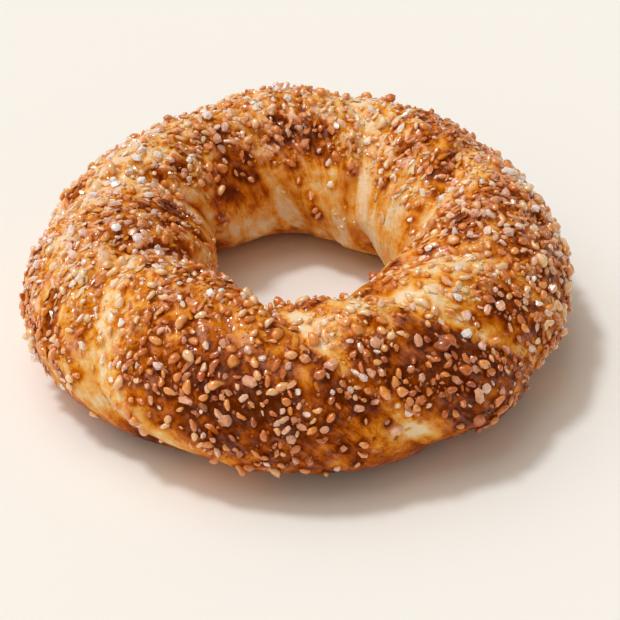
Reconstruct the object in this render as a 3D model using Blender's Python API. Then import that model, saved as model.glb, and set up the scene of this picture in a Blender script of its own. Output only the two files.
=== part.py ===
"""A simit: one ring of twisted dough, baked with a flat base.

The ring lies on z = 0 with its front towards -Y. Headings round the ring are measured from the
front, growing towards +X. Angles round the rope are 0 on its outer side, 90 on top, 180 on its
inner side and 270 underneath.
"""

import bpy
import numpy as np
from mathutils import Matrix, Vector

MM = 0.001

# The rope and the ring that it makes, in millimetres.
RING_RADIUS = 50.3
ROPE_HALF_WIDTH = 23.7
WAIST_HEIGHT = 18.7
CROWN_RISE = 22.8
BELLY_DROP = 19.5

# Fullness of the rope's section: 2 is an ellipse, less is peaked, more is squarer.
CROWN_FULLNESS = 1.72
BELLY_FULLNESS = 2.1

# Hand-shaped unevenness: waves round the ring, size in millimetres, heading of a high place.
OUTER_DRIFT = [(1, 1.2, -116), (2, 1.2, -46), (3, 2.1, 49), (4, 0.6, -13)]
INNER_DRIFT = [(1, 3.7, -150), (2, 1.6, 6), (3, 1.9, -20), (4, 0.8, 9)]

# The folds where one turn of the twisted rope tucks under the next. Each has its heading on the
# crown, its lean towards the outside and the inside (degrees of heading for each degree round
# the rope), its depth in millimetres, and the side, towards smaller (-1) or larger (1) headings,
# on which the turn drops steeply into it.
FOLDS = [
    (-157, 0.10, 0.17, 2.2, -1),
    (-107, 0.10, 0.24, 4.4, -1),
    (-68, 0.28, 0.12, 4.4, -1),
    (-4, 0.27, 0.33, 3.8, -1),
    (31, 0.26, 0.31, 4.2, -1),
    (66, 0.10, 0.15, 3.6, 1),
    (118, 0.30, 0.27, 3.2, 1),
    (163, 0.22, 0.17, 4.6, 1),
]
FOLD_STEEP_WIDTH = 3.5
FOLD_GENTLE_WIDTH = 8.0
FOLD_WAVER = 1.8
FOLD_WAVES = 4.0
FOLD_ROUNDING = 0.5
FOLD_FADE_FROM = -25.0
FOLD_FADE_TO = -65.0

# How high the turns stand, the share of it left on the outer side, and the angles round the rope
# between which it falls to that share.
TURN_SWELL = 1.4
TURN_OUTER_SHARE = 0.6
TURN_OUTER_FROM = 110.0
TURN_OUTER_TO = 40.0

CROWN = 90.0

# Faces of the mesh: round the ring, and round the rope.
RING_STEPS = 126
ROPE_STEPS = 38

SHARP_ANGLE = 60
CRUST_COLOUR = (0.42, 0.16, 0.04, 1.0)
CRUST_ROUGHNESS = 0.4


def drift(heading, waves):
    """Sum of cosine waves round the ring."""
    total = np.zeros_like(heading)
    for count, size, top in waves:
        total += size * np.cos(count * np.radians(heading - top))
    return total


def smooth_step(value):
    """0 below 0 and 1 above 1, with a smooth rise between."""
    value = np.clip(value, 0.0, 1.0)
    return value * value * (3.0 - 2.0 * value)


def fold_distance(heading, around, fold):
    """Distance along the ring, in millimetres, from a fold's line: positive on its steep side.

    The line is crown + lean * (90 - around) + waver * sin(waves * around + crown), in degrees.
    """
    crown, lean_out, lean_in, _, steep_side = fold
    lean = np.where(around < CROWN, lean_out, lean_in)
    line = crown + lean * (CROWN - around)
    line = line + FOLD_WAVER * np.sin(np.radians(FOLD_WAVES * around + crown))
    away = (heading - line + 180.0) % 360.0 - 180.0
    return np.radians(away) * RING_RADIUS * steep_side


def turn_relief(heading, around):
    """Height of the twisted turns over the plain rope: a swell with a crease at each fold.

    A crease falls off with the distance s along the ring as exp(r - sqrt(r^2 + (s / w)^2)), where
    w is smaller on its steep side. The turns are shallower on the outside and fade out before the
    base.
    """
    lift = np.full_like(heading, TURN_SWELL)
    for fold in FOLDS:
        away = fold_distance(heading, around, fold)
        span = away / np.where(away > 0.0, FOLD_STEEP_WIDTH, FOLD_GENTLE_WIDTH)
        lift -= fold[3] * np.exp(FOLD_ROUNDING - np.sqrt(FOLD_ROUNDING**2 + span**2))
    outside = smooth_step((TURN_OUTER_FROM - around) / (TURN_OUTER_FROM - TURN_OUTER_TO))
    side = CROWN - np.abs(around - CROWN)
    fade = smooth_step((side - FOLD_FADE_TO) / (FOLD_FADE_FROM - FOLD_FADE_TO))
    return lift * fade * (1.0 - (1.0 - TURN_OUTER_SHARE) * outside)


def power_wave(value, fullness):
    """A cosine or sine bent into the matching coordinate of a superellipse."""
    return np.sign(value) * np.abs(value) ** (2.0 / fullness)


def ring_points(heading, around):
    """Points of the crust for arrays of headings and angles round the rope, in millimetres.

    The section is a superellipse between the inner and the outer radius, with one fullness above
    the waist and another below it. What would lie under z = 0 is pressed flat on it.
    """
    up = np.sin(np.radians(around))
    out = np.cos(np.radians(around))
    outer = RING_RADIUS + ROPE_HALF_WIDTH + drift(heading, OUTER_DRIFT)
    inner = RING_RADIUS - ROPE_HALF_WIDTH + drift(heading, INNER_DRIFT)
    middle = (outer + inner) / 2.0
    half = (outer - inner) / 2.0
    lift = turn_relief(heading, around)
    fullness = np.where(up > 0.0, CROWN_FULLNESS, BELLY_FULLNESS)
    rise = np.where(up > 0.0, CROWN_RISE, BELLY_DROP)
    radius = middle + (half + lift) * power_wave(out, fullness)
    height = WAIST_HEIGHT + (rise + lift) * power_wave(up, fullness)
    turn = np.radians(heading)
    points = [radius * np.sin(turn), -radius * np.cos(turn), np.maximum(height, 0.0)]
    return np.stack(points, axis=-1)


def torus_mesh():
    """The plain torus that the ring is shaped from."""
    bpy.ops.mesh.primitive_torus_add(
        major_segments=RING_STEPS,
        minor_segments=ROPE_STEPS,
        major_radius=RING_RADIUS * MM,
        minor_radius=ROPE_HALF_WIDTH * MM,
    )
    return bpy.context.object


def shape_ring(ring):
    """Move each vertex of the torus to its place on the crust, then centre the ring."""
    mesh = ring.data
    flat = np.empty(len(mesh.vertices) * 3)
    mesh.vertices.foreach_get("co", flat)
    x, y, z = flat.reshape(-1, 3).T / MM
    heading = np.degrees(np.arctan2(x, -y))
    around = np.degrees(np.arctan2(z, np.hypot(x, y) - RING_RADIUS))
    around = np.where(around < -90.0, around + 360.0, around)
    points = ring_points(heading, around) * MM
    middle = (points.min(axis=0) + points.max(axis=0)) / 2.0
    mesh.vertices.foreach_set("co", points.astype(np.float32).ravel())
    mesh.transform(Matrix.Translation(Vector((-middle[0], -middle[1], 0.0))))
    mesh.shade_smooth()
    mesh.set_sharp_from_angle(angle=np.radians(SHARP_ANGLE))
    mesh.update()


def crust_material():
    """Glossy brown baked dough."""
    material = bpy.data.materials.new("baked_crust")
    material.use_nodes = True
    shader = material.node_tree.nodes["Principled BSDF"]
    shader.inputs["Base Color"].default_value = CRUST_COLOUR
    shader.inputs["Roughness"].default_value = CRUST_ROUGHNESS
    shader.inputs["Metallic"].default_value = 0.0
    return material


def clear_scene():
    for old in list(bpy.data.objects):
        bpy.data.objects.remove(old)


def main():
    clear_scene()
    simit = bpy.data.collections.new("simit")
    bpy.context.scene.collection.children.link(simit)
    ring = torus_mesh()
    ring.name = "bread_ring"
    shape_ring(ring)
    ring.data.materials.append(crust_material())
    for home in list(ring.users_collection):
        home.objects.unlink(ring)
    simit.objects.link(ring)


main()
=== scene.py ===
"""A simit: a ring of twisted dough with an egg-washed crust, toasted seeds, salt and crumbs.

Lengths are millimetres until they go into a mesh. Headings round the ring are degrees from the
front (-Y) towards +X. Angles round the rope are 0 on its outer side, 90 on top, 180 on its inner
side and 270 underneath.
"""

import bpy
import numpy as np
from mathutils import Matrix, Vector


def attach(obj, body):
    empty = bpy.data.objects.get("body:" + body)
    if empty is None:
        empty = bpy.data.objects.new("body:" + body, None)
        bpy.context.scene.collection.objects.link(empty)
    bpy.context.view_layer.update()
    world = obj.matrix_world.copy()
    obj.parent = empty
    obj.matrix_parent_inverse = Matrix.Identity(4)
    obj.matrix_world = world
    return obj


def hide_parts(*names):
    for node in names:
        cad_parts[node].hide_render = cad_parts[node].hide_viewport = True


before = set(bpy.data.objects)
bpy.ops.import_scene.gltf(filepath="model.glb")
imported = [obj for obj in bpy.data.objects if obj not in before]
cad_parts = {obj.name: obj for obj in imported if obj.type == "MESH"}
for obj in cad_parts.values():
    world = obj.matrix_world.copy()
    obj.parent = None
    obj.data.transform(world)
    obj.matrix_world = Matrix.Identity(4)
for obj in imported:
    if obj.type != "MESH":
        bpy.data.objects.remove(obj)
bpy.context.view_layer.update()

MM = 0.001

# The rope and the ring that it makes, the same as the solid's.
RING_RADIUS = 50.3
ROPE_HALF_WIDTH = 23.7
WAIST_HEIGHT = 18.7
CROWN_RISE = 22.8
BELLY_DROP = 19.5
CROWN_FULLNESS = 1.72
BELLY_FULLNESS = 2.1
OUTER_DRIFT = [(1, 1.2, -116), (2, 1.2, -46), (3, 2.1, 49), (4, 0.6, -13)]
INNER_DRIFT = [(1, 3.7, -150), (2, 1.6, 6), (3, 1.9, -20), (4, 0.8, 9)]

# Folds: heading on the crown, lean towards the outside and the inside, depth, and the side,
# towards smaller (-1) or larger (1) headings, on which the turn drops steeply into the fold.
FOLDS = [
    (-157, 0.10, 0.17, 2.2, -1),
    (-107, 0.10, 0.24, 4.4, -1),
    (-68, 0.28, 0.12, 4.4, -1),
    (-4, 0.27, 0.33, 3.8, -1),
    (31, 0.26, 0.31, 4.2, -1),
    (66, 0.10, 0.15, 3.6, 1),
    (118, 0.30, 0.27, 3.2, 1),
    (163, 0.22, 0.17, 4.6, 1),
]
FOLD_STEEP_WIDTH = 3.5
FOLD_GENTLE_WIDTH = 8.0
FOLD_WAVER = 1.8
FOLD_WAVES = 4.0
FOLD_ROUNDING = 0.5
FOLD_FADE_FROM = -25.0
FOLD_FADE_TO = -65.0
TURN_OUTER_SHARE = 0.6
TURN_OUTER_FROM = 110.0
TURN_OUTER_TO = 40.0
TURN_SWELL = 1.4

RING_LENGTH = 2.0 * np.pi * RING_RADIUS
ROPE_GIRTH = 150.0
TWIST_LEAN = 0.22


# ---------------------------------------------------------------- the form of the bread


def drift(heading, waves):
    """Sum of cosine waves round the ring."""
    total = np.zeros_like(heading)
    for count, size, top in waves:
        total += size * np.cos(count * np.radians(heading - top))
    return total


def smooth_step(value):
    """0 below 0 and 1 above 1, with a smooth rise between."""
    value = np.clip(value, 0.0, 1.0)
    return value * value * (3.0 - 2.0 * value)


def base_fade(around):
    """1 over the crown and sides, falling to 0 before the base."""
    side = 90.0 - np.abs(around - 90.0)
    return smooth_step((side - FOLD_FADE_TO) / (FOLD_FADE_FROM - FOLD_FADE_TO))


def fold_distance(heading, around, fold):
    """Distance along the ring, in millimetres at the rope's middle, from a fold's slanting and
    wavering line: positive on the fold's steep side."""
    crown, lean_out, lean_in, _, steep_side = fold
    lean = np.where(around < 90.0, lean_out, lean_in)
    line = crown + lean * (90.0 - around)
    line = line + FOLD_WAVER * np.sin(np.radians(FOLD_WAVES * around + crown))
    away = (heading - line + 180.0) % 360.0 - 180.0
    return np.radians(away) * RING_RADIUS * steep_side


def turn_relief(heading, around):
    """Swell of the twisted turns, with a crease exp(r - sqrt(r^2 + (s / w)^2)) at each fold, where
    w is smaller on the steep side."""
    lift = np.full_like(heading, TURN_SWELL)
    for fold in FOLDS:
        away = fold_distance(heading, around, fold)
        span = away / np.where(away > 0.0, FOLD_STEEP_WIDTH, FOLD_GENTLE_WIDTH)
        lift -= fold[3] * np.exp(FOLD_ROUNDING - np.sqrt(FOLD_ROUNDING**2 + span**2))
    outside = smooth_step((TURN_OUTER_FROM - around) / (TURN_OUTER_FROM - TURN_OUTER_TO))
    return lift * base_fade(around) * (1.0 - (1.0 - TURN_OUTER_SHARE) * outside)


def power_wave(value, fullness):
    """A cosine or sine bent into the matching coordinate of a superellipse."""
    return np.sign(value) * np.abs(value) ** (2.0 / fullness)


def ring_points(heading, around, relief=0.0):
    """Points of the ring: a superellipse section between the inner and outer radius, raised by the
    turns' relief and any finer relief, and pressed flat on z = 0."""
    up = np.sin(np.radians(around))
    out = np.cos(np.radians(around))
    outer = RING_RADIUS + ROPE_HALF_WIDTH + drift(heading, OUTER_DRIFT)
    inner = RING_RADIUS - ROPE_HALF_WIDTH + drift(heading, INNER_DRIFT)
    middle = (outer + inner) / 2.0
    half = (outer - inner) / 2.0
    lift = turn_relief(heading, around) + relief
    fullness = np.where(up > 0.0, CROWN_FULLNESS, BELLY_FULLNESS)
    rise = np.where(up > 0.0, CROWN_RISE, BELLY_DROP)
    radius = middle + (half + lift) * power_wave(out, fullness)
    height = WAIST_HEIGHT + (rise + lift) * power_wave(up, fullness)
    turn = np.radians(heading)
    points = [radius * np.sin(turn), -radius * np.cos(turn), np.maximum(height, 0.0)]
    return np.stack(points, axis=-1)


def ring_grid(ring_steps, rope_steps):
    """Headings and angles round the rope on a closed grid, starting under the ring."""
    heading = np.arange(ring_steps) * 360.0 / ring_steps - 180.0
    around = np.arange(rope_steps) * 360.0 / rope_steps - 90.0
    return np.meshgrid(heading, around, indexing="ij")


def ring_middle():
    """The middle of the plain ring's box, which the solid is centred on."""
    points = ring_points(*ring_grid(504, 152)).reshape(-1, 3)
    middle = (points.min(axis=0) + points.max(axis=0)) / 2.0
    return np.array([middle[0], middle[1], 0.0])


RING_MIDDLE = ring_middle()


# ---------------------------------------------------------------- noise and masks on the crust


def cell_noise(heading, around, along_mm, across_mm, seed):
    """Smooth noise from -1 to 1: random values on a grid of cells that leans with the twist, with
    cells of about the given size along the ring and round the rope, blended by smooth steps."""
    columns = max(3, round(RING_LENGTH / along_mm))
    rows = max(3, round(ROPE_GIRTH / across_mm))
    table = np.random.default_rng(seed).uniform(-1.0, 1.0, (columns, rows))
    u = (heading + TWIST_LEAN * (around - 90.0)) / 360.0 * columns
    v = around / 360.0 * rows
    i = np.floor(u).astype(int)
    j = np.floor(v).astype(int)
    s = smooth_step(u - i)
    t = smooth_step(v - j)
    near = table[i % columns, j % rows] * (1 - s) + table[(i + 1) % columns, j % rows] * s
    far = table[i % columns, (j + 1) % rows] * (1 - s) + table[(i + 1) % columns, (j + 1) % rows] * s
    return near * (1 - t) + far * t


def patches(heading, around, rows):
    """Sum of soft oval patches: each has heading, angle round the rope, reach along and round in
    degrees, and amount."""
    total = np.zeros_like(heading)
    for place, angle, along, across, amount in rows:
        du = ((heading - place + 180.0) % 360.0 - 180.0 + TWIST_LEAN * (around - angle)) / along
        dv = (around - angle) / across
        total += amount * np.exp(-(du * du + dv * dv))
    return total


def fold_nearness(heading, around, width):
    """1 on a fold's line, falling off over the width, in millimetres, to its sides."""
    near = np.zeros_like(heading)
    for fold in FOLDS:
        near = np.maximum(near, np.exp(-((fold_distance(heading, around, fold) / width) ** 2)))
    return near


def fold_tint(heading, around):
    """Colour at the folds: a thin dark line along each, which is painted shadow under the overhanging
    turn; a brown lip on its steep side, partly glaze and partly painted shade on the side turned from
    the light; and pale dough on its gentle side, partly dough that opened late and partly painted
    light on the slope that faces the light."""
    tint = np.zeros_like(heading)
    paleness_and_light = 0.21 + 0.14 * cell_noise(heading, around, 6.0, 9.0, 14)
    paleness_and_light += 0.12 * cell_noise(heading, around, 2.6, 4.0, 16)
    for fold in FOLDS:
        away = fold_distance(heading, around, fold)
        share = fold[3] / 4.0
        # Painted shadow in the thin line, glaze with painted shade on the steep lip, late-opened dough with
        # painted light on the pale gentle side.
        tint += share * 0.20 * np.exp(-((away / 0.8) ** 2))
        tint += share * 0.12 * np.exp(-(((away - 3.2) / 2.4) ** 2))
        tint -= share * paleness_and_light * np.exp(-(((away + 4.0) / 3.4) ** 2))
    return tint * base_fade(around)


# Where the crust is darker (+) or paler (-) than its height alone would make it.
BAKE_PATCHES = [
    (0, 12, 18, 26, 0.06),
    (-12, 46, 12, 20, 0.14),
    (-22, 64, 9, 26, 0.08),
    (-40, 82, 16, 26, -0.18),
    (-58, 30, 16, 30, -0.08),
    (-2, 98, 18, 16, -0.18),
    (48, 106, 16, 22, -0.14),
    (42, -16, 18, 10, 0.22),
    (42, 36, 16, 30, 0.10),
    (-90, 80, 30, 34, -0.05),
    (140, 88, 22, 24, 0.16),
    (112, 112, 20, 20, 0.08),
    (-146, 152, 26, 22, 0.18),
    (-150, 192, 40, 12, -0.12),
    (-102, 148, 18, 26, 0.20),
    (118, 172, 5, 30, 0.16),
    (116, 168, 24, 26, -0.08),
    (88, 158, 5, 30, 0.14),
    (30, 36, 12, 26, 0.18),
    (42, -6, 12, 18, 0.10),
    (57, 42, 9, 26, 0.20),
    (84, 52, 8, 22, 0.16),
    (178, 126, 12, 16, 0.46),
    (-150, 128, 10, 14, 0.26),
    (-148, 150, 14, 30, 0.24),
    (180, 190, 30, 30, 0.16),
    (-122, 176, 14, 20, 0.18),
    (-98, 126, 9, 14, 0.36),
    (-84, 96, 6, 22, 0.22),
    (-118, 104, 5, 18, 0.22),
    (-58, 92, 6, 22, 0.12),
    (118, 116, 8, 20, 0.24),
    (138, 104, 7, 18, 0.22),
    (96, 76, 7, 16, 0.20),
    (-36, -12, 18, 16, -0.42),
    (-50, 18, 6, 26, -0.24),
    (-62, 52, 9, 30, -0.20),
    (18, 2, 7, 18, -0.42),
    (6, 88, 12, 16, -0.14),
    (-106, 100, 4, 26, -0.30),
    (50, 104, 14, 9, -0.16),
    (22, 96, 9, 12, -0.28),
    (38, 82, 8, 14, -0.40),
    (62, 92, 12, 20, -0.26),
    (68, 60, 5, 40, -0.16),
    (98, 142, 18, 26, -0.42),
    (128, 186, 16, 20, -0.14),
    (152, 100, 8, 30, -0.22),
    (158, 108, 5, 40, -0.42),
    (167, 72, 5, 18, -0.16),
    (-108, 80, 10, 26, -0.42),
    (-92, 60, 16, 22, -0.18),
    (-140, 76, 18, 16, -0.16),
    (-126, 158, 3.5, 28, -0.50),
    (-119, 150, 1.6, 30, 0.30),
    (-171, 178, 3.5, 26, -0.36),
]


# Open pores in the pale dough: heading, angle round the rope, radius and depth in millimetres.
PORES = [
    (17.5, 11, 1.3, 1.5),
    (22, 1, 0.9, 0.8),
    (14, 3, 0.7, 0.6),
    (24, 8, 0.7, 0.6),
    (19, -5, 0.8, 0.6),
    (-30, 4, 0.9, 0.7),
    (-44, 30, 1.0, 0.8),
    (34, 88, 0.9, 0.8),
    (61, 96, 1.0, 0.8),
    (100, 150, 0.9, 0.7),
]


def pore_depth(heading, around):
    """Depth of the pores, each d * exp(-(r / radius)^4)."""
    depth = np.zeros_like(heading)
    for place, angle, radius, deep in PORES:
        away = (heading - place + 180.0) % 360.0 - 180.0
        ring_radius = RING_RADIUS + ROPE_HALF_WIDTH * np.cos(np.radians(angle))
        apart = np.hypot(np.radians(away) * ring_radius, (around - angle) / 360.0 * ROPE_GIRTH)
        depth = np.maximum(depth, deep * np.exp(-((apart / radius) ** 4)))
    return depth


def crust_bake_and_shade(heading, around):
    """How brown the crust is, from 0, pale cream, to 1, dark mahogany: amber over the top, browner
    on the front, golden in the hole, paler along the folds and in patches. Painted shade is added in
    it along the fold lines, inside the pores and at the toe where the bread meets the floor, with
    painted light on the folds' pale sides."""
    front = np.exp(-(((heading - 16.0) / 58.0) ** 2)) * (1.0 - smooth_step((around - 40.0) / 40.0))
    inside = smooth_step((around - 120.0) / 50.0)
    behind = smooth_step(0.5 - 0.7 * np.cos(np.radians(heading - 15.0)))
    bake_and_shade = 0.475 + 0.15 * front - 0.02 * inside - 0.22 * behind
    far = smooth_step((np.abs(heading) - 112.0) / 30.0) * smooth_step((80.0 - around) / 30.0)
    bake_and_shade += 0.30 * far
    bake_and_shade += 0.13 * inside * cell_noise(heading, around, 4.0, 26.0, 13)
    bake_and_shade += fold_tint(heading, around)
    bake_and_shade += patches(heading, around, BAKE_PATCHES)
    bake_and_shade += 0.19 * cell_noise(heading, around, 8.0, 11.0, 11)
    bake_and_shade += 0.10 * cell_noise(heading, around, 3.0, 10.0, 12)
    # Painted shade inside the pores, darker the deeper they are.
    bake_and_shade += 0.55 * pore_depth(heading, around)
    # Painted contact shade along the toe where the bread meets the floor; darker again underneath.
    painted_contact_shade = smooth_step((-18.0 - around) / 12.0) + smooth_step((around - 200.0) / 12.0)
    underneath = smooth_step((-68.0 - around) / 14.0) + smooth_step((around - 248.0) / 14.0)
    return np.clip(bake_and_shade + 0.2 * painted_contact_shade + 0.12 * underneath, 0.02, 1.0)


# Where the topping lies thick (+) or thin (-).
TOPPING_PATCHES = [
    (-48, 15, 9, 24, -0.6),
    (20, 8, 9, 18, -0.6),
    (18, 7, 5, 12, -0.6),
    (-104, 98, 5, 26, -0.9),
    (46, 104, 14, 8, -0.5),
    (118, 120, 6, 14, -0.5),
    (128, 90, 6, 10, -0.6),
    (96, 75, 5, 8, -0.5),
    (-142, 125, 10, 14, -0.3),
    (154, 125, 4, 30, -0.5),
    (46, 50, 5, 10, -0.5),
    (-8, -10, 16, 14, 0.5),
    (46, -4, 8, 12, 0.4),
]


SALT_PATCHES = [
    (-108, 92, 8, 22, 3.0),
    (-72, 110, 5, 14, 3.2),
    (-78, 72, 8, 14, 1.4),
    (-8, 2, 16, 16, 0.5),
    (-150, 112, 22, 12, 0.5),
    (44, 58, 12, 16, 0.4),
    (14, 34, 34, 24, 0.45),
    (98, 70, 26, 24, 0.4),
]


def open_dough(heading, around):
    """How bare the dough is on the gentle side of the folds, from 0 to 1."""
    bare = np.zeros_like(heading)
    for fold in FOLDS:
        away = fold_distance(heading, around, fold)
        bare = np.maximum(bare, fold[3] / 4.6 * np.exp(-(((away + 3.0) / 3.0) ** 2)))
    return bare * base_fade(around) * (0.8 + 0.4 * cell_noise(heading, around, 7.0, 9.0, 15))


def topping_cover(heading, around):
    """How thick seeds and crumbs lie, from 0 to 1: thick on the crown, thin on the lower front and
    inside the hole."""
    to_front = smooth_step((np.cos(np.radians(heading - 5.0)) + 0.1) / 0.8)
    outer_edge = 20.0 - 30.0 * (1.0 - to_front)
    outside = smooth_step((around - outer_edge + 45.0) / 60.0)
    inside = 1.0 - smooth_step((around - 122.0) / 34.0)
    cover = outside * inside + patches(heading, around, TOPPING_PATCHES)
    low = smooth_step((around + 40.0) / 20.0) * smooth_step((200.0 - around) / 20.0)
    return np.clip(cover, 0.05, 1.0) * low * (1.0 - 0.55 * open_dough(heading, around))


def clumped_cover(heading, around):
    """The cover gathered into clumps a few millimetres across, with barer gaps between."""
    clumps = 0.42 + 1.4 * cell_noise(heading, around, 7.0, 7.0, 31)
    clumps += 0.7 * cell_noise(heading, around, 14.0, 18.0, 32)
    return topping_cover(heading, around) * (0.08 + 0.92 * smooth_step(clumps))


def seed_cover(heading, around):
    """Where the seeds lie: in the clumps, a little thinner to the left and behind."""
    turned = 0.5 - 0.5 * np.cos(np.radians(heading - 15.0))
    return clumped_cover(heading, around) * (1.0 - 0.62 * smooth_step(turned * 1.6))


def salt_cover(heading, around):
    """Where coarse salt lies: thinly all over the topping and in a few drifts."""
    drifts = patches(heading, around, SALT_PATCHES)
    return 0.35 * clumped_cover(heading, around) + np.clip(drifts, 0.0, 3.2)


def rough_skin(heading, around):
    """Where the crust is blistered and crackled, mostly under the thick topping left and behind."""
    turned = 0.5 - 0.5 * np.cos(np.radians(heading - 15.0))
    return topping_cover(heading, around) * (0.3 + 0.7 * smooth_step(turned * 2.2 - 0.05))


def skin_height(heading, around):
    """Height of the blistered skin from 0, in its cracks, to 1: rounded nodules with narrow cracks
    where a second noise crosses nought."""
    nodules = 0.5 + 0.5 * cell_noise(heading, around, 3.0, 3.4, 4)
    cracks = np.exp(-((cell_noise(heading, around, 4.4, 5.2, 5) / 0.16) ** 2))
    grit = 0.5 + 0.5 * cell_noise(heading, around, 1.5, 1.8, 6)
    return np.clip(0.68 * nodules + 0.32 * grit - 0.4 * cracks, 0.0, 1.0)


def fine_relief(heading, around):
    """Finer relief of the crust in millimetres: lumps of the dough, wrinkles along the twist that
    deepen at the folds, and blisters where the skin is rough."""
    lumps = 0.60 * cell_noise(heading, around, 15.0, 18.0, 1)
    lumps += 0.62 * cell_noise(heading, around, 5.5, 11.0, 2)
    stretched = 0.5 + 0.5 * fold_nearness(heading, around, 9.0)
    wrinkles = 0.46 * stretched * cell_noise(heading, around, 2.6, 12.0, 3)
    wrinkles += 0.20 * cell_noise(heading, around, 1.4, 5.0, 7)
    blisters = 2.0 * rough_skin(heading, around) * (skin_height(heading, around) - 0.4)
    return (lumps + wrinkles + blisters - pore_depth(heading, around)) * base_fade(around)


def crust_points(heading, around):
    """Points of the finished crust, centred as the solid is."""
    return ring_points(heading, around, fine_relief(heading, around)) - RING_MIDDLE


def crust_frames(heading, around, step=0.4):
    """Point, outward normal, direction along the ring and area per square degree on the crust."""
    here = crust_points(heading, around)
    along = ring_points(heading + step, around) - ring_points(heading - step, around)
    across = ring_points(heading, around + step) - ring_points(heading, around - step)
    normal = np.cross(along, across)
    area = np.linalg.norm(normal, axis=-1) / (4.0 * step * step)
    normal /= np.linalg.norm(normal, axis=-1, keepdims=True)
    along /= np.linalg.norm(along, axis=-1, keepdims=True)
    return here, normal, along, area


# ---------------------------------------------------------------- meshes


def new_mesh_object(name, points, faces, material, smooth=True, values=None):
    """An object from points in millimetres and faces as rows of corner numbers; values are named
    numbers or vectors for each point."""
    mesh = bpy.data.meshes.new(name)
    corners = faces.shape[1]
    mesh.vertices.add(len(points))
    mesh.loops.add(faces.size)
    mesh.polygons.add(len(faces))
    mesh.vertices.foreach_set("co", (points * MM).astype(np.float32).ravel())
    mesh.loops.foreach_set("vertex_index", faces.astype(np.int32).ravel())
    mesh.polygons.foreach_set("loop_start", np.arange(len(faces), dtype=np.int32) * corners)
    mesh.polygons.foreach_set("use_smooth", np.full(len(faces), smooth))
    for key, data in (values or {}).items():
        kind, field = ("FLOAT", "value") if data.ndim == 1 else ("FLOAT_VECTOR", "vector")
        attribute = mesh.attributes.new(key, kind, "POINT")
        attribute.data.foreach_set(field, data.astype(np.float32).ravel())
    mesh.update(calc_edges=True)
    mesh.materials.append(material)
    item = bpy.data.objects.new(name, mesh)
    bpy.context.scene.collection.objects.link(item)
    return item


def closed_grid_faces(rows, columns):
    """Quads of a grid that closes on itself both ways."""
    i, j = np.meshgrid(np.arange(rows), np.arange(columns), indexing="ij")
    k = (i + 1) % rows
    m = (j + 1) % columns
    corners = [i * columns + j, k * columns + j, k * columns + m, i * columns + m]
    return np.stack(corners, axis=-1).reshape(-1, 4)


CRUST_RING_STEPS = 620
CRUST_TOP_STEPS = 138
CRUST_BASE_STEPS = 22
CRUST_TOP_FROM = -34.0
CRUST_TOP_TO = 214.0


def crust_attributes(heading, around):
    """Named numbers for the crust's material: how brown it is, painted shade included; how rough and
    how high the skin is, which set its painted sheen on the tops and painted shade in the cracks; and
    a grain coordinate in millimetres that runs along the twist and closes round the ring."""
    leaned = np.radians(heading + TWIST_LEAN * (around - 90.0))
    girth = around / 360.0 * ROPE_GIRTH
    bake_and_shade = crust_bake_and_shade(heading, around)
    # Less roughness, and so less painted sheen and crack shade, where the crust is dark.
    sheen_and_shade_scale = 1.0 - 0.8 * smooth_step((bake_and_shade - 0.42) / 0.3)
    grain = [RING_RADIUS * np.cos(leaned), RING_RADIUS * np.sin(leaned), girth]
    return {
        "bake_and_shade": bake_and_shade.ravel(),
        "rough": (rough_skin(heading, around) * sheen_and_shade_scale).ravel(),
        "height": skin_height(heading, around).ravel(),
        "grain": np.stack(grain, axis=-1).reshape(-1, 3),
    }


def closeness_to_bits(heading, around, spots):
    """Two numbers for each point of the crust's grid: a mound, in millimetres, that rises to
    each bit as m * exp(-(d / (r + c))^2), and a moat, from 0 to 1, just outside its edge."""
    mound = np.zeros(heading.shape)
    moat = np.zeros(heading.shape)
    rows = heading.shape[0]
    top = around[0, :CRUST_TOP_STEPS]
    turn_step = top[1] - top[0]
    near_row = np.round((spots[:, 0] + 180.0) / 360.0 * rows).astype(int)
    near_column = np.round((spots[:, 1] - top[0]) / turn_step).astype(int)
    reach = spots[:, 2]
    for row_shift in range(-8, 9):
        for column_shift in range(-6, 7):
            i = (near_row + row_shift) % rows
            j = near_column + column_shift
            inside = (j >= 0) & (j < CRUST_TOP_STEPS)
            i, j, r = i[inside], j[inside], reach[inside]
            away = (heading[i, j] - spots[inside, 0] + 180.0) % 360.0 - 180.0
            ring_radius = RING_RADIUS + ROPE_HALF_WIDTH * np.cos(np.radians(around[i, j]))
            du = np.radians(away) * ring_radius
            dv = (around[i, j] - spots[inside, 1]) / 360.0 * ROPE_GIRTH
            d = np.hypot(du, dv)
            np.maximum.at(mound, (i, j), MOUND_RISE * r * np.exp(-((d / (r + MOUND_REACH)) ** 2)))
            np.maximum.at(moat, (i, j), np.exp(-(((d - r - MOAT_GAP) / MOAT_WIDTH) ** 2)))
    return mound, moat


MOUND_RISE = 0.32
MOUND_REACH = 0.5
MOAT_GAP = 0.2
MOAT_WIDTH = 0.6
# How much darker the ring round each bit is: partly pooled glaze, partly painted contact shade.
MOAT_GLAZE_AND_SHADE = 0.25


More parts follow.
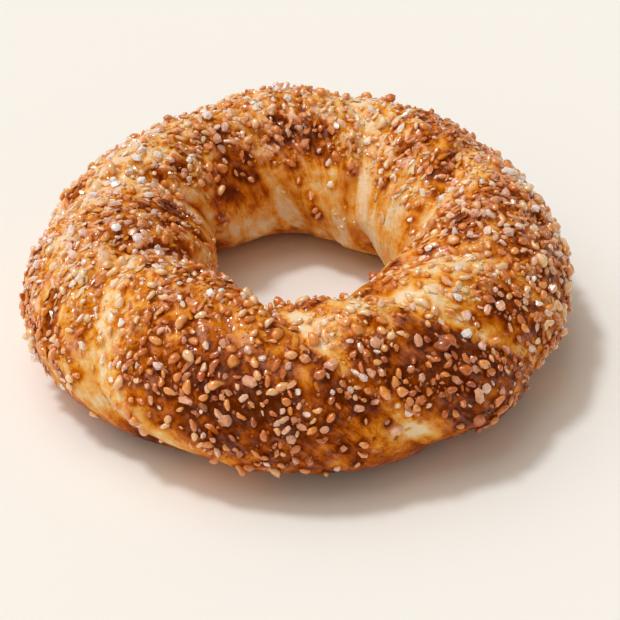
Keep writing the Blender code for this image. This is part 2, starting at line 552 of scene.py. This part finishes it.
def make_crust(material, spots):
    """The bread's skin as one closed grid, with finer rows over the crown and sides. It rises
    round each bit stuck to it, and is darker in a ring just outside each bit: partly glaze that has
    pooled there, partly painted contact shade."""
    headings = np.arange(CRUST_RING_STEPS) * 360.0 / CRUST_RING_STEPS - 180.0
    top = np.linspace(CRUST_TOP_FROM, CRUST_TOP_TO, CRUST_TOP_STEPS, endpoint=False)
    base = np.linspace(CRUST_TOP_TO, CRUST_TOP_FROM + 360.0, CRUST_BASE_STEPS, endpoint=False)
    turns = np.concatenate([top, np.where(base > 270.0, base - 360.0, base)])
    heading, around = np.meshgrid(headings, turns, indexing="ij")
    mound, moat = closeness_to_bits(heading, around, spots)
    relief = fine_relief(heading, around) + mound
    points = (ring_points(heading, around, relief) - RING_MIDDLE).reshape(-1, 3)
    values = crust_attributes(heading, around)
    # Darken the ring round each bit: pooled glaze with painted contact shade.
    values["bake_and_shade"] = np.clip(values["bake_and_shade"] + MOAT_GLAZE_AND_SHADE * moat.ravel(), 0.0, 1.0)
    faces = closed_grid_faces(CRUST_RING_STEPS, len(turns))
    return new_mesh_object("crust", points, faces, material, values=values)


def pebble(rings, sides):
    """Points and triangles of a unit pebble: rings of points between two poles along X."""
    turn = np.linspace(0.0, np.pi, rings + 2)[1:-1]
    side = np.arange(sides) * 2.0 * np.pi / sides
    x = np.repeat(-np.cos(turn), sides)
    r = np.repeat(np.sin(turn), sides)
    body = np.stack([x, r * np.tile(np.cos(side), rings), r * np.tile(np.sin(side), rings)], axis=-1)
    points = np.concatenate([[[-1.0, 0.0, 0.0]], body, [[1.0, 0.0, 0.0]]])
    faces = []
    last = len(points) - 1
    for k in range(sides):
        n = (k + 1) % sides
        faces.append((0, 1 + n, 1 + k))
        faces.append((last, last - sides + k, last - sides + n))
        for ring in range(rings - 1):
            a = 1 + ring * sides
            b = a + sides
            faces += [(a + k, a + n, b + n), (a + k, b + n, b + k)]
    return points, np.array(faces)


def teardrop(points, taper):
    """A pebble drawn to a blunt point at its +X end: its girth is scaled by 1 - taper * (x + 1) / 2."""
    shaped = points.copy()
    shaped[:, 1:] *= (1.0 - taper * (points[:, :1] + 1.0) / 2.0) ** 0.7
    return shaped


CELL = 3.0


def keep_apart(points, reach, taken, closeness):
    """Numbers of the points that stay clear of those kept before, first come first served. taken
    maps a cell of space to the points and reaches kept in it."""
    kept = []
    cells = np.floor(points / CELL).astype(int)
    for n, (point, cell, own) in enumerate(zip(points, cells, reach)):
        clear = True
        for dx in (-1, 0, 1):
            for dy in (-1, 0, 1):
                for dz in (-1, 0, 1):
                    for other, size in taken.get((cell[0] + dx, cell[1] + dy, cell[2] + dz), ()):
                        gap = closeness * (own + size)
                        if np.dot(point - other, point - other) < gap * gap:
                            clear = False
                            break
                    if not clear:
                        break
                if not clear:
                    break
            if not clear:
                break
        if clear:
            kept.append(n)
            taken.setdefault(tuple(cell), []).append((point, own))
    return np.array(kept, dtype=int)


def scatter_spots(count, cover, rng):
    """Headings and angles of count random spots, as many to each square millimetre as cover says."""
    heading = rng.uniform(-180.0, 180.0, count * 14)
    around = rng.uniform(-60.0, 215.0, count * 14)
    area = crust_frames(heading, around)[3]
    chance = area * cover(heading, around)
    chosen = np.flatnonzero(rng.uniform(0.0, chance.max(), len(chance)) < chance)[:count]
    return heading[chosen], around[chosen]


def lumpy(local, amount, rng):
    """Copies of a shape, each swollen and pinched by 1 + amount * (sum of two sine waves) along
    random directions through it."""
    count = len(local)
    swell = np.ones(local.shape[:2])
    for waves in (1.9, 3.3):
        way = rng.normal(0.0, 1.0, (count, 1, 3))
        way /= np.linalg.norm(way, axis=-1, keepdims=True)
        start = rng.uniform(0.0, 2.0 * np.pi, (count, 1))
        swell += amount * np.sin(waves * (local * way).sum(axis=-1) + start)
    return local * swell[..., None]


def spread(name, material, template, wanted, length, width, thickness, sink, cover, closeness, taken,
           seed, lumps=0.0, bend=0.0, tilt=0.2, smooth=True, stray=3.2):
    """Lay copies of a template on the crust: each has a random size within the ranges, lies across
    the rope give or take the stray in radians, has a small tilt, a bend and lumps, and is sunk a
    share of its thickness."""
    rng = np.random.default_rng(seed)
    shape, faces = template
    heading, around = scatter_spots(wanted, cover, rng)
    here, normal, along, _ = crust_frames(heading, around)
    count = len(here)
    sizes = rng.beta(1.5, 2.2, count)
    long = length[0] + (length[1] - length[0]) * sizes
    wide = long * rng.uniform(*width, count)
    thick = long * rng.uniform(*thickness, count)
    kept = keep_apart(here, (long + wide) / 4.0, taken, closeness)
    here, normal, along = here[kept], normal[kept], along[kept]
    long, wide, thick = long[kept], wide[kept], thick[kept]
    heading, around = heading[kept], around[kept]
    count = len(kept)
    turn = np.pi / 2.0 + TWIST_LEAN + rng.uniform(-stray, stray, (count, 1))
    beside = np.cross(normal, along)
    front = along * np.cos(turn) + beside * np.sin(turn)
    front += normal * rng.normal(0.0, tilt, (count, 1))
    front /= np.linalg.norm(front, axis=-1, keepdims=True)
    side = np.cross(normal, front)
    side /= np.linalg.norm(side, axis=-1, keepdims=True)
    up = np.cross(front, side)
    local = lumpy(np.repeat(shape[None], count, axis=0), lumps, rng)
    for axis in (1, 2):
        local[..., axis] += rng.normal(0.0, bend, (count, 1)) * (local[..., 0] ** 2 - 0.4)
    centre = here + normal * (thick * (0.5 - sink))[:, None]
    points = centre[:, None, :]
    for axis, (way, size) in enumerate(((front, long), (side, wide), (up, thick))):
        points = points + local[..., axis:axis + 1] * (way * size[:, None] / 2.0)[:, None, :]
    points[..., 2] = np.maximum(points[..., 2], 0.05)
    all_faces = (faces[None] + (np.arange(count) * len(shape))[:, None, None]).reshape(-1, 3)
    values = crust_attributes(heading, around)
    values["tone"] = rng.uniform(0.0, 1.0, count) ** 1.35
    # For the flakes and crumbs, which wear the crust's material: paler tones stand higher and rougher, and so
    # get more painted sheen.
    values["height"] = 0.45 + 0.5 * values["tone"]
    values["rough"] = 0.3 + 0.4 * values["rough"]
    values = {key: np.repeat(data, len(shape), axis=0) for key, data in values.items()}
    print(name, "pieces", count, "triangles", len(all_faces))
    item = new_mesh_object(name, points.reshape(-1, 3), all_faces, material, smooth, values)
    return item, np.stack([heading, around, (long + wide) / 4.0], axis=-1)


# ---------------------------------------------------------------- materials


def linear(text):
    """Linear colour with alpha from an sRGB hex value."""
    channels = [int(text[k:k + 2], 16) / 255.0 for k in (1, 3, 5)]
    bent = [c / 12.92 if c <= 0.04045 else ((c + 0.055) / 1.055) ** 2.4 for c in channels]
    return (*bent, 1.0)


def add_node(tree, kind, inputs=None, ramp=None, **settings):
    """Add a node with its settings, its colour ramp's stops, and inputs set or linked."""
    node = tree.nodes.new(kind)
    for key, value in settings.items():
        setattr(node, key, value)
    for key, value in (inputs or {}).items():
        if isinstance(value, bpy.types.NodeSocket):
            tree.links.new(value, node.inputs[key])
        else:
            node.inputs[key].default_value = value
    if ramp:
        stops = node.color_ramp.elements
        while len(stops) < len(ramp):
            stops.new(0.5)
        for stop, (place, colour) in zip(stops, ramp):
            stop.position = place
            stop.color = linear(colour) if isinstance(colour, str) else (colour, colour, colour, 1.0)
    return node


def new_material(name):
    """An empty material with a Principled shader on its output; returns all three."""
    material = bpy.data.materials.new(name)
    material.use_nodes = True
    tree = material.node_tree
    return material, tree, tree.nodes["Principled BSDF"]


def per_metre(size_mm):
    """Noise scale that gives features of about this size on Object coordinates in metres."""
    return 1.0 / (size_mm * MM)


def crust_material():
    """Egg-washed yeast crust, baked: a thin clear glaze over browned dough, amber to mahogany, pale
    where the folds opened late, with painted light and shade at the folds, a painted peach sheen on
    the tops of its blisters and painted shade in their cracks. It gives the eye warm depth and soft
    wet-looking highlights."""
    material, tree, shader = new_material("egg_washed_crust")
    bake_and_shade = add_node(tree, "ShaderNodeAttribute", attribute_name="bake_and_shade").outputs["Fac"]
    rough = add_node(tree, "ShaderNodeAttribute", attribute_name="rough").outputs["Fac"]
    height = add_node(tree, "ShaderNodeAttribute", attribute_name="height").outputs["Fac"]
    grain = add_node(tree, "ShaderNodeAttribute", attribute_name="grain").outputs["Vector"]
    place = add_node(tree, "ShaderNodeTexCoord").outputs["Object"]
    # Streaks 1.6 mm wide that run with the twist: the grain's third number is squeezed.
    along = add_node(tree, "ShaderNodeMapping", {"Vector": grain, "Scale": (1.0, 1.0, 0.16)})
    streaks = add_node(tree, "ShaderNodeTexNoise",
                       {"Vector": along.outputs["Vector"], "Scale": 1.0 / 1.6, "Detail": 3.0,
                        "Roughness": 0.6}).outputs["Fac"]
    mottle = add_node(tree, "ShaderNodeTexNoise",
                      {"Vector": place, "Scale": per_metre(5.0), "Detail": 4.0,
                       "Roughness": 0.55}).outputs["Fac"]
    # Fine broken skin, about 1 mm across.
    film = add_node(tree, "ShaderNodeTexNoise",
                    {"Vector": place, "Scale": per_metre(1.2), "Detail": 3.0,
                     "Roughness": 0.65}).outputs["Fac"]
    # Thin dark crackle lines along the twist, where a noise crosses its middle.
    drawn = add_node(tree, "ShaderNodeMapping", {"Vector": grain, "Scale": (1.0, 1.0, 0.4)})
    level = add_node(tree, "ShaderNodeTexNoise",
                     {"Vector": drawn.outputs["Vector"], "Scale": 1.0 / 3.2, "Detail": 3.0,
                      "Roughness": 0.6, "Distortion": 0.4}).outputs["Fac"]
    off = add_node(tree, "ShaderNodeMath", {0: level, 1: 0.5}, operation="SUBTRACT").outputs[0]
    apart = add_node(tree, "ShaderNodeMath", {0: off}, operation="ABSOLUTE").outputs[0]
    crackle = add_node(tree, "ShaderNodeMapRange",
                       {"Value": apart, "From Min": 0.0, "From Max": 0.03, "To Min": 0.15,
                        "To Max": 0.0}).outputs["Result"]
    mixed = add_node(tree, "ShaderNodeMix", {"Factor": 0.24, 2: mottle, 3: streaks}).outputs[0]
    centred = add_node(tree, "ShaderNodeMath", {0: mixed, 1: -0.5}, operation="ADD").outputs[0]
    clouded = add_node(tree, "ShaderNodeMath", {0: centred, 1: 1.5, 2: bake_and_shade},
                       operation="MULTIPLY_ADD").outputs[0]
    shade = add_node(tree, "ShaderNodeMath", {0: clouded, 1: crackle}, operation="ADD").outputs[0]
    # The cracks are browner and the tops paler, by up to a fifth of the scale: partly glaze pooled in the
    # cracks, partly painted shade in the cracks and painted light on the tops.
    broken = add_node(tree, "ShaderNodeMix", {"Factor": 0.5, 2: height, 3: film}).outputs[0]
    cracks_shade_and_light = add_node(tree, "ShaderNodeMapRange",
                      {"Value": broken, "From Min": 0.25, "From Max": 0.75, "To Min": 0.26,
                       "To Max": -0.26}).outputs["Result"]
    uneven = add_node(tree, "ShaderNodeMath", {0: cracks_shade_and_light, 1: rough, 2: shade},
                      operation="MULTIPLY_ADD").outputs[0]
    colour = add_node(tree, "ShaderNodeValToRGB", {"Fac": uneven}, ramp=[
        (0.02, "#F8DDB4"), (0.20, "#F4C072"), (0.40, "#EC9A2C"), (0.58, "#CE6E0E"),
        (0.78, "#9C4404"), (0.97, "#662602")]).outputs["Color"]
    # Painted sheen: a peach-white colour laid on the tops of the blisters and broken skin, standing in for
    # highlights.
    painted_sheen = add_node(tree, "ShaderNodeMapRange",
                     {"Value": broken, "From Min": 0.52, "From Max": 0.64, "To Min": 0.0,
                      "To Max": 0.66}).outputs["Result"]
    painted_sheen_share = add_node(tree, "ShaderNodeMath", {0: painted_sheen, 1: rough},
                          operation="MULTIPLY").outputs[0]
    colour_with_sheen = add_node(tree, "ShaderNodeMix",
                       {"Factor": painted_sheen_share, 6: colour, 7: linear("#FFD4B8")},
                       data_type="RGBA").outputs[2]
    tree.links.new(colour_with_sheen, shader.inputs["Base Color"])
    gloss = add_node(tree, "ShaderNodeMapRange",
                     {"Value": mottle, "From Min": 0.3, "From Max": 0.7, "To Min": 0.24,
                      "To Max": 0.46}).outputs["Result"]
    tree.links.new(gloss, shader.inputs["Roughness"])
    pits = add_node(tree, "ShaderNodeBump",
                    {"Height": film, "Strength": 0.8, "Distance": 0.45 * MM}).outputs["Normal"]
    tree.links.new(pits, shader.inputs["Normal"])
    # The glaze smooths over the finest pits: wrinkles 1.4 mm wide and dimples 2.4 mm across.
    creased = add_node(tree, "ShaderNodeMapping", {"Vector": grain, "Scale": (1.0, 1.0, 0.3)})
    creases = add_node(tree, "ShaderNodeTexNoise",
                       {"Vector": creased.outputs["Vector"], "Scale": 1.0 / 1.4, "Detail": 1.0,
                        "Distortion": 0.6}).outputs["Fac"]
    dimples = add_node(tree, "ShaderNodeTexNoise",
                       {"Vector": place, "Scale": per_metre(2.4), "Detail": 1.0}).outputs["Fac"]
    wet = add_node(tree, "ShaderNodeMix", {"Factor": 0.5, 2: creases, 3: dimples}).outputs[0]
    glaze = add_node(tree, "ShaderNodeBump",
                     {"Height": wet, "Strength": 1.0, "Distance": 0.7 * MM}).outputs["Normal"]
    tree.links.new(glaze, shader.inputs["Coat Normal"])
    shader.inputs["IOR"].default_value = 1.4
    shader.inputs["Specular IOR Level"].default_value = 0.1
    shader.inputs["Specular Tint"].default_value = linear("#F0A050")
    # The glaze has pooled in patches and is nearly dry between them.
    wetter = add_node(tree, "ShaderNodeMath", {0: rough, 1: 0.04, 2: wet},
                      operation="MULTIPLY_ADD").outputs[0]
    pooled = add_node(tree, "ShaderNodeMapRange",
                      {"Value": wetter, "From Min": 0.49, "From Max": 0.60, "To Min": 0.0,
                       "To Max": 0.8}).outputs["Result"]
    tree.links.new(pooled, shader.inputs["Coat Weight"])
    shader.inputs["Subsurface Weight"].default_value = 0.25
    shader.inputs["Subsurface Radius"].default_value = (1.0, 0.4, 0.12)
    shader.inputs["Subsurface Scale"].default_value = 1.2 * MM
    shader.inputs["Coat Roughness"].default_value = 0.07
    shader.inputs["Coat IOR"].default_value = 1.45
    return material


def topping_material(name, ramp, roughness, grain_mm, subsurface=0.0, coat=0.0, transmission=0.0):
    """Material for loose bits: a colour for each bit from its tone, clouded by noise of the given
    size."""
    material, tree, shader = new_material(name)
    tone = add_node(tree, "ShaderNodeAttribute", attribute_name="tone").outputs["Fac"]
    place = add_node(tree, "ShaderNodeTexCoord").outputs["Object"]
    cloud = add_node(tree, "ShaderNodeTexNoise",
                     {"Vector": place, "Scale": per_metre(grain_mm), "Detail": 2.0}).outputs["Fac"]
    centred = add_node(tree, "ShaderNodeMath", {0: cloud, 1: -0.5}, operation="ADD").outputs[0]
    clouded = add_node(tree, "ShaderNodeMath", {0: centred, 1: 0.8, 2: tone},
                       operation="MULTIPLY_ADD").outputs[0]
    # Bits follow the crust's browning and its painted shade: darker where the crust is darker.
    bake_and_shade = add_node(tree, "ShaderNodeAttribute", attribute_name="bake_and_shade").outputs["Fac"]
    darker = add_node(tree, "ShaderNodeMath", {0: bake_and_shade, 1: -0.7, 2: 0.25},
                      operation="MULTIPLY_ADD").outputs[0]
    shade = add_node(tree, "ShaderNodeMath", {0: clouded, 1: 0.72, 2: darker},
                     operation="MULTIPLY_ADD").outputs[0]
    lifted = add_node(tree, "ShaderNodeMath", {0: shade, 1: 0.41}, operation="ADD").outputs[0]
    colour = add_node(tree, "ShaderNodeValToRGB", {"Fac": lifted}, ramp=ramp).outputs["Color"]
    tree.links.new(colour, shader.inputs["Base Color"])
    dents = add_node(tree, "ShaderNodeBump",
                     {"Height": cloud, "Strength": 0.6, "Distance": 0.25 * MM}).outputs["Normal"]
    tree.links.new(dents, shader.inputs["Normal"])
    tree.links.new(dents, shader.inputs["Coat Normal"])
    shader.inputs["Roughness"].default_value = roughness
    shader.inputs["Coat Weight"].default_value = coat
    shader.inputs["Coat Roughness"].default_value = 0.10
    shader.inputs["Coat IOR"].default_value = 1.7
    shader.inputs["Subsurface Weight"].default_value = subsurface
    shader.inputs["Subsurface Radius"].default_value = (1.0, 0.32, 0.1)
    shader.inputs["Subsurface Scale"].default_value = 1.2 * MM
    shader.inputs["Transmission Weight"].default_value = transmission
    return material


# ---------------------------------------------------------------- the bread


taken_spots = {}
crust_finish = crust_material()

# Hulled sesame toasted to amber: an oily satin skin that glints at its rounded top.
seed_finish = topping_material("toasted_sesame", [(0.0, "#923A08"), (0.3, "#D06A14"),
                                                  (0.6, "#F29A3C"), (1.0, "#FFD4A0")],
                               0.26, 1.1, subsurface=0.35, coat=0.9)
# Coarse salt, stained by the crust: cloudy pinkish crystals with bright facets.
salt_finish = topping_material("coarse_salt", [(0.0, "#CE8450"), (0.4, "#ECB490"),
                                               (0.75, "#FAD6C4"), (1.0, "#FFF4F0")],
                               0.16, 0.9, subsurface=0.5, coat=0.6)

salt_grains, salt_spots = spread("salt_grains", salt_finish, pebble(3, 6), 430, (1.5, 4.0), (0.6, 0.95),
                     (0.5, 0.85), 0.2, salt_cover, 0.75, taken_spots, 22, lumps=0.22, tilt=0.6,
                     smooth=False)
seed_shape, seed_faces = pebble(5, 8)
toasted_seeds, seed_spots = spread("toasted_seeds", seed_finish, (teardrop(seed_shape, 0.45), seed_faces), 1900,
                       (1.9, 4.3), (0.62, 0.95), (0.55, 0.85), 0.22, seed_cover, 0.9,
                       taken_spots, 21, lumps=0.24, bend=0.1, tilt=0.35)
# Crushed toppings fused by the glaze: shards from orange to pinkish white.
crumble_finish = topping_material("glazed_crumble", [(0.0, "#A2480C"), (0.35, "#E08232"),
                                                     (0.65, "#F4A668"), (1.0, "#FFE6D2")],
                                  0.24, 1.0, subsurface=0.35, coat=0.9)
crumble, crumble_spots = spread("crumble", crumble_finish, pebble(3, 6), 3200, (1.2, 3.9),
                                (0.4, 0.8), (0.35, 0.65), 0.3, rough_skin, 0.7, taken_spots, 25,
                                lumps=0.22, bend=0.2, tilt=0.35, smooth=False, stray=0.9)
flakes, _ = spread("flakes", crust_finish, pebble(4, 6), 800, (1.8, 4.6), (0.35, 0.6), (0.1, 0.18),
                -0.2, rough_skin, 0.35, {}, 23, lumps=0.2, bend=0.25, tilt=0.3, stray=0.8)
crumbs, _ = spread("crumbs", crust_finish, pebble(2, 5), 3600, (0.7, 1.7), (0.6, 0.95), (0.5, 0.8),
                0.3, clumped_cover, 0.7, taken_spots, 24, lumps=0.2, tilt=0.5)

crust = make_crust(crust_finish, np.concatenate([seed_spots, salt_spots, crumble_spots]))
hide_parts("bread_ring")
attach(crust, "root")
for piece, slot in ((toasted_seeds, "toasted_seed"), (salt_grains, "salt"), (crumble, "crumb"),
                    (flakes, "crumb"), (crumbs, "crumb")):
    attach(piece, "root")


# ---------------------------------------------------------------- stage, light and camera


def make_floor():
    """A plain pale floor, far larger than the bread, just under its base."""
    material, tree, shader = new_material("pale_paper_floor")
    shader.inputs["Base Color"].default_value = linear("#F9F6ED")
    shader.inputs["Roughness"].default_value = 0.9
    shader.inputs["Specular IOR Level"].default_value = 0.0
    reach = 6000.0
    points = np.array([[-reach, -reach, -0.2], [reach, -reach, -0.2], [reach, reach, -0.2],
                       [-reach, reach, -0.2]])
    floor = new_mesh_object("floor", points, np.array([[0, 1, 2, 3]]), material, smooth=False)


SUN_FROM = Vector((-0.39, 0.18, 0.90))
SUNS = [("broad_key", 0.86, 60.0), ("glint_key", 1.27, 9.0)]   # name, strength, spread in degrees
SUN_COLOUR = "#EFF5FF"
SKY_COLOUR = "#FFF1E0"
SKY_STRENGTH = 0.47
SKY_SLOPE = (-0.5, -0.2, 0.0)


def make_light():
    """A broad soft sun with a smaller brighter one inside it, from the left and a little behind,
    and a warm sky that is brighter to the left and in front."""
    for name, strength, spread_angle in SUNS:
        sun = bpy.data.lights.new(name, "SUN")
        sun.energy = strength
        sun.angle = np.radians(spread_angle)
        sun.color = linear(SUN_COLOUR)[:3]
        lamp = bpy.data.objects.new(name, sun)
        lamp.rotation_euler = SUN_FROM.to_track_quat("Z", "Y").to_euler()
        bpy.context.scene.collection.objects.link(lamp)
    world = bpy.data.worlds.new("sky")
    world.use_nodes = True
    tree = world.node_tree
    way = add_node(tree, "ShaderNodeTexCoord").outputs["Generated"]
    slope = add_node(tree, "ShaderNodeVectorMath", {0: way, 1: SKY_SLOPE},
                     operation="DOT_PRODUCT").outputs["Value"]
    level = add_node(tree, "ShaderNodeMath", {0: slope, 1: SKY_STRENGTH, 2: SKY_STRENGTH},
                     operation="MULTIPLY_ADD").outputs[0]
    sky = tree.nodes["Background"]
    tree.links.new(level, sky.inputs["Strength"])
    sky.inputs["Color"].default_value = linear(SKY_COLOUR)
    bpy.context.scene.world = world


CAMERA_DISTANCE = 560.0
CAMERA_ELEVATION = 37.2
CAMERA_LENS = 117.0
AIM_ASIDE = 1.3
AIM_BELOW = 11.3


def make_camera():
    """A long lens in front of the ring, looking down on it; the ring stands a little high and left
    of the picture's middle."""
    look = Vector((-RING_MIDDLE[0], -RING_MIDDLE[1], 20.0))
    tilt = np.radians(CAMERA_ELEVATION)
    back = Vector((0.0, -np.cos(tilt), np.sin(tilt)))
    above = Vector((0.0, np.sin(tilt), np.cos(tilt)))
    stand = look + back * CAMERA_DISTANCE
    aim = look + Vector((AIM_ASIDE, 0.0, 0.0)) - above * AIM_BELOW
    data = bpy.data.cameras.new("camera")
    data.lens = CAMERA_LENS
    camera = bpy.data.objects.new("camera", data)
    camera.location = stand * MM
    camera.rotation_euler = (stand - aim).to_track_quat("Z", "Y").to_euler()
    bpy.context.scene.collection.objects.link(camera)
    bpy.context.scene.camera = camera


make_floor()
make_light()
make_camera()
bpy.context.scene.view_settings.view_transform = "Standard"
